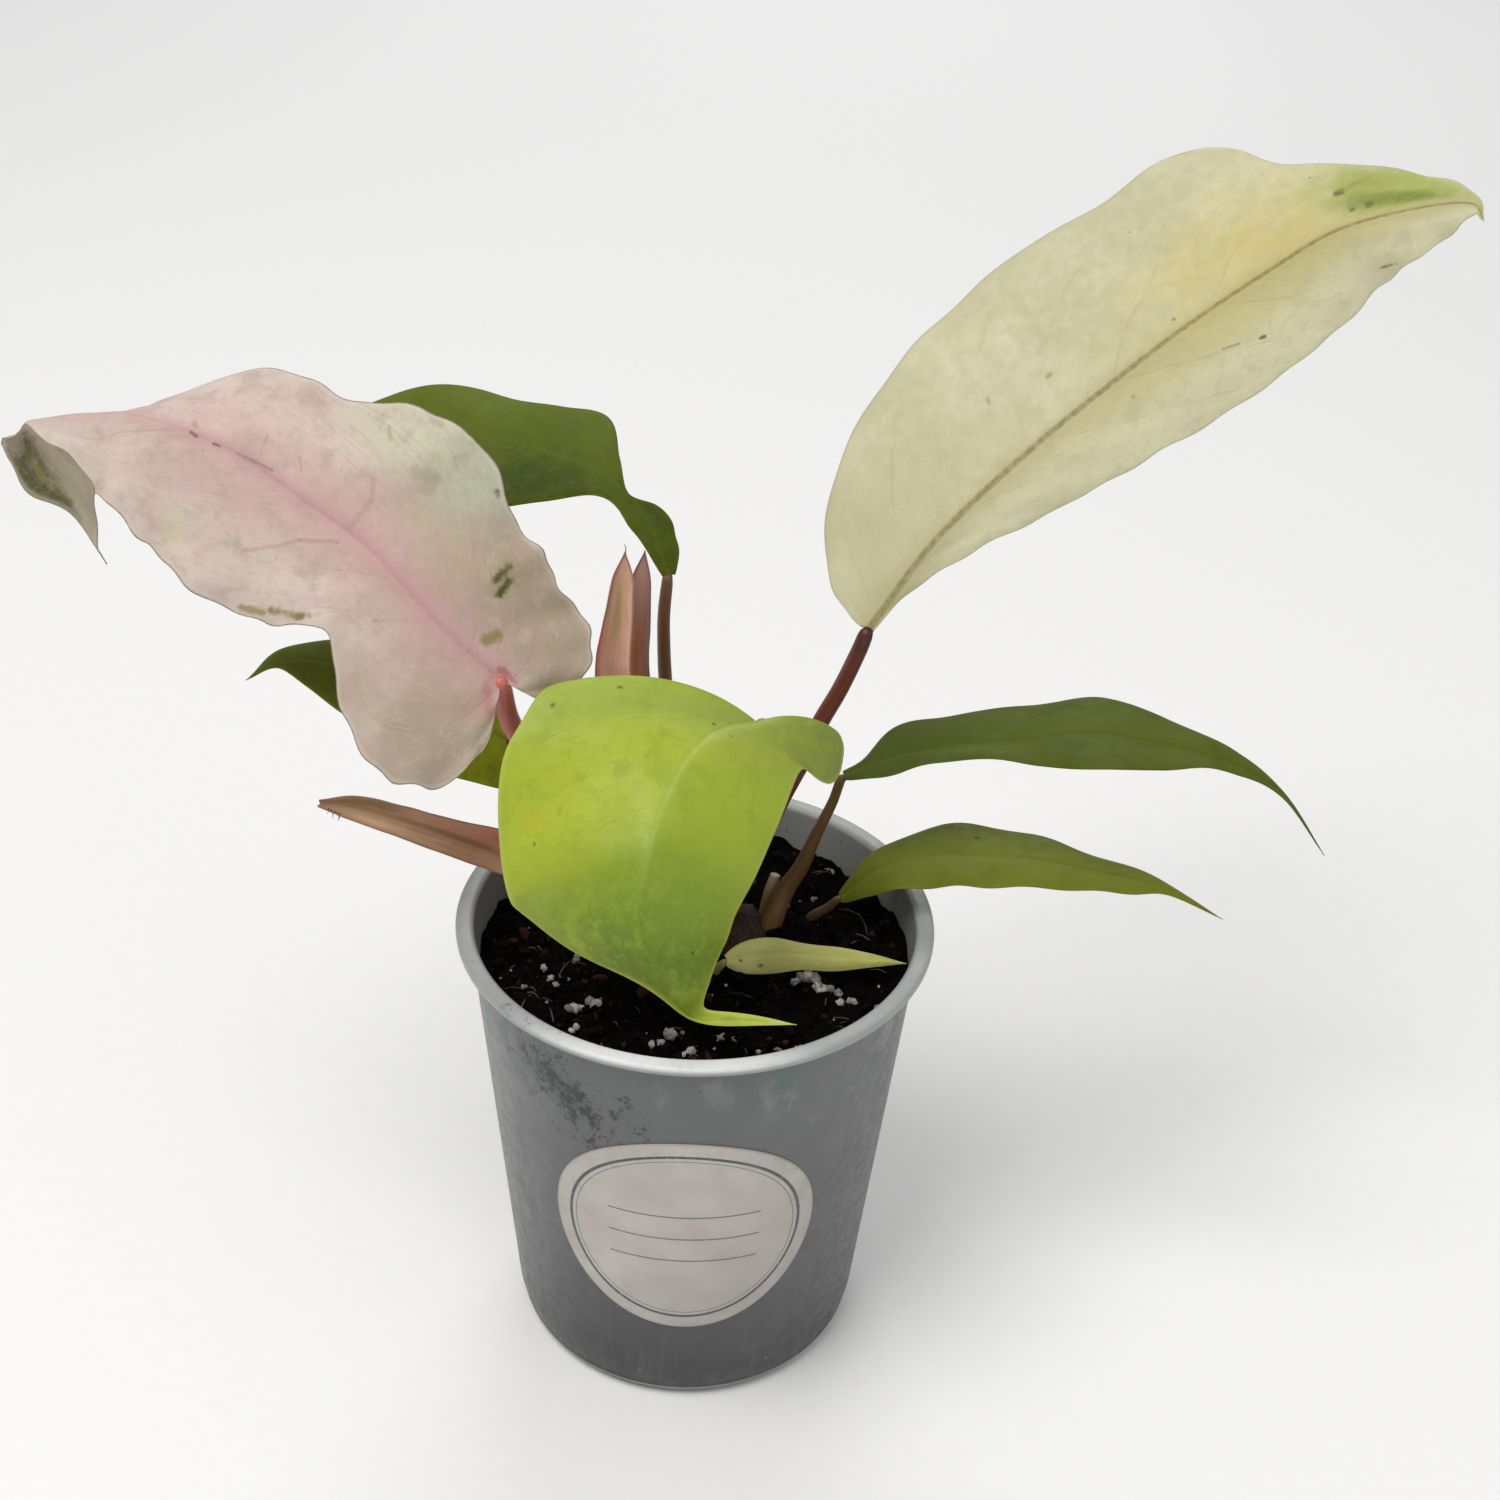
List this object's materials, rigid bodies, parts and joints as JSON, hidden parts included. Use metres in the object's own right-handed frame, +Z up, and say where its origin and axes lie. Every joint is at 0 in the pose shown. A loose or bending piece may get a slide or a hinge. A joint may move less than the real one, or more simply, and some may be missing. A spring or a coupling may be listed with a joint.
{
  "type": "potted foliage plant",
  "caption": "Young heart-leaved climbing plant with cream, pink, lime and green blades on thin stalks, rooted in a filled frosted nursery pot with a round plain label.",
  "frame": {"origin": "centre of the pot's underside, on the floor it stands on", "axes": "+Z up along the pot, +X towards the long cream leaf, -Y towards the viewer and the label"},
  "size_m": [0.3366, 0.1374, 0.3026],
  "materials": {
    "pot": "frosted translucent, slightly scuffed",
    "label": "smooth coated",
    "soil": "moist, crumbly, with pale mineral grains",
    "crown": "fibrous, satin",
    "leaf_cream": "waxy satin, variegated",
    "leaf_pink": "waxy satin, variegated",
    "leaf_lime": "waxy satin",
    "leaf_green": "waxy satin",
    "leaf_pale": "satin, drying",
    "sheath": "smooth, striped",
    "stalk_red": "glossy",
    "stalk_pink": "glossy",
    "stalk_green": "satin"
  },
  "bodies": {
    "root": {"pot": "pot", "label": "label", "soil": "soil", "crown": "crown", "leaf_cream": "leaf_cream", "leaf_pink": "leaf_pink", "leaf_lime": "leaf_lime", "leaf_back": "leaf_green", "leaf_left": "leaf_green", "leaf_right_upper": "leaf_green", "leaf_right_lower": "leaf_green", "leaf_small": "leaf_pale", "sheath_upright_outer": "sheath", "sheath_upright_inner": "sheath", "sheath_left": "sheath", "stalk_cream": "stalk_red", "stalk_pink": "stalk_pink", "stalk_lime": "stalk_green", "stalk_back": "stalk_red", "stalk_left": "stalk_green", "stalk_right_upper": "stalk_green", "stalk_right_lower": "stalk_green", "stalk_small": "stalk_green", "old_stub": "stalk_green"}
  },
  "joints": []
}
